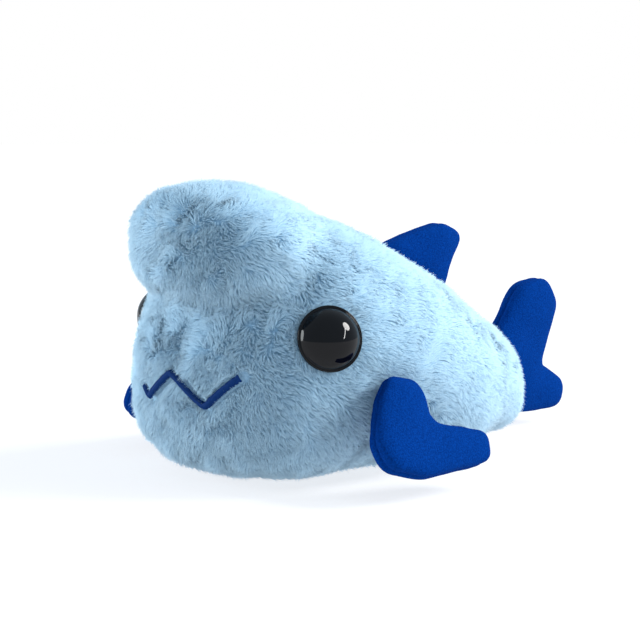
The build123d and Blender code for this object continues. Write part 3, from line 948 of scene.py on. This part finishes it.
def closing():
    """Hand stitches across the seam on the right, each a short arch of thread."""
    paths = []
    for index in range(9):
        station = 122 + 4.5 * index
        height = np.interp(station, *zip(*BELLY_SEAM))
        y = STATION_ZERO + station * MM
        path = []
        for share in np.linspace(-1, 1, 9):
            z = (height + 2.5 * share) * MM - BASE_CUT
            start = Vector((-0.3, y + 0.7 * MM * share, z))
            hit, normal, _, _ = FORM_TREE.ray_cast(start, Vector((1, 0, 0)))
            path.append(np.array(hit) + np.array(normal) * (-0.3 + 2.3 * np.sqrt(1 - share ** 2)) * MM)
        paths.append(path)
    return thread_mesh("closing_threads", paths, 0.42 * MM, CLOSING_THREAD, sides=8)


closing_threads = closing()
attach(closing_threads, "body")
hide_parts("closing_stitches")

# What stays inside keeps the model's own shapes.
INNER = {
    "body_stuffing": (FIBRE, "fibre_fill"),
    "left_eye_washer": (WASHER, "washer_plastic"),
    "right_eye_washer": (WASHER, "washer_plastic"),
}
for fin_name in FINS:
    INNER[f"{fin_name}_stuffing"] = (FIBRE, "fibre_fill")
    INNER[f"{fin_name}_root_tab"] = (FLEECE, "fin_fleece")
for name, (material, slot_name) in INNER.items():
    node = frame["nodes"][name]
    node.data.materials.clear()
    node.data.materials.append(material)

bpy.data.objects.remove(form)


# ---------------------------------------------------------------- floor, light and camera

def stage_floor():
    mesh = bpy.data.meshes.new("floor")
    size = 6.0
    corners = [(-size, -size, 0), (size, -size, 0), (size, size, 0), (-size, size, 0)]
    mesh.from_pydata(corners, [], [(0, 1, 2, 3)])
    material, _, shader = node_material("floor_white")
    shader.inputs["Base Color"].default_value = (0.30, 0.30, 0.31, 1.0)
    shader.inputs["Roughness"].default_value = 1.0
    shader.inputs["Specular IOR Level"].default_value = 0.0
    shader.inputs["Emission Color"].default_value = (0.97, 0.98, 1.0, 1.0)
    shader.inputs["Emission Strength"].default_value = 0.76
    mesh.materials.append(material)
    floor = link(bpy.data.objects.new("floor", mesh))


def stage_backdrop():
    """A white studio wall all round, which the camera sees but which doesn't light the toy."""
    mesh = bpy.data.meshes.new("backdrop")
    work = bmesh.new()
    bmesh.ops.create_icosphere(work, subdivisions=4, radius=5.8)
    bmesh.ops.reverse_faces(work, faces=work.faces)
    work.to_mesh(mesh)
    work.free()
    material, _, shader = node_material("backdrop_white")
    shader.inputs["Base Color"].default_value = (0.0, 0.0, 0.0, 1.0)
    shader.inputs["Specular IOR Level"].default_value = 0.0
    shader.inputs["Emission Color"].default_value = (1.0, 1.0, 1.0, 1.0)
    shader.inputs["Emission Strength"].default_value = 1.0
    mesh.materials.append(material)
    wall = link(bpy.data.objects.new("backdrop", mesh))
    wall.visible_diffuse = False
    wall.visible_glossy = False
    wall.visible_transmission = False
    wall.visible_shadow = False


LIGHT_TARGET = Vector((0, -0.02, 0.06))


def aimed_light(name, kind, direction, distance, power, colour=(1, 1, 1)):
    """A light that shines on the toy from one direction."""
    light = bpy.data.lights.new(name, kind)
    light.energy = power
    light.color = colour
    obj = link(bpy.data.objects.new(name, light))
    way = Vector(direction).normalized()
    obj.location = LIGHT_TARGET + way * distance
    obj.rotation_euler = way.to_track_quat("Z", "Y").to_euler()
    obj.visible_camera = False
    return obj


stage_floor()
stage_backdrop()
world = bpy.data.worlds.new("world")
world.use_nodes = True
world.node_tree.nodes["Background"].inputs["Color"].default_value = (0.72, 0.87, 1.0, 1.0)
world.node_tree.nodes["Background"].inputs["Strength"].default_value = 0.68
bpy.context.scene.world = world
key = aimed_light("key", "SUN", (0.55, 0.72, 0.62), 4.0, 3.2, (1.0, 0.98, 0.96))
key.data.angle = radians(22.0)
glint = aimed_light("eye_glint", "AREA", (0.84, 0.41, 0.36), 1.5, 6.5)
glint.data.shape = "RECTANGLE"
glint.data.size = 0.05
glint.data.size_y = 0.8
glint.rotation_euler = (glint.rotation_euler.to_matrix() @ Matrix.Rotation(radians(-35), 3, "Z")).to_euler()
fill = aimed_light("left_fill", "AREA", (-0.75, -0.62, 0.12), 3.0, 82.0, (0.92, 0.97, 1.0))
fill.data.shape = "DISK"
fill.data.size = 1.8
bpy.context.scene.view_settings.view_transform = "Standard"

CAMERA_AZIMUTH, CAMERA_ELEVATION, CAMERA_DISTANCE = radians(48.5), radians(7.0), 0.9
CAMERA_TARGET = Vector((-0.0046, STATION_ZERO + 0.0960, 0.0693))
back = Vector((sin(CAMERA_AZIMUTH) * cos(CAMERA_ELEVATION), -cos(CAMERA_AZIMUTH) * cos(CAMERA_ELEVATION),
               sin(CAMERA_ELEVATION)))
camera = link(bpy.data.objects.new("camera", bpy.data.cameras.new("camera")))
camera.data.lens = 103.0
camera.data.clip_start = 0.01
camera.location = CAMERA_TARGET + back * CAMERA_DISTANCE
camera.rotation_euler = back.to_track_quat("Z", "Y").to_euler()
bpy.context.scene.camera = camera
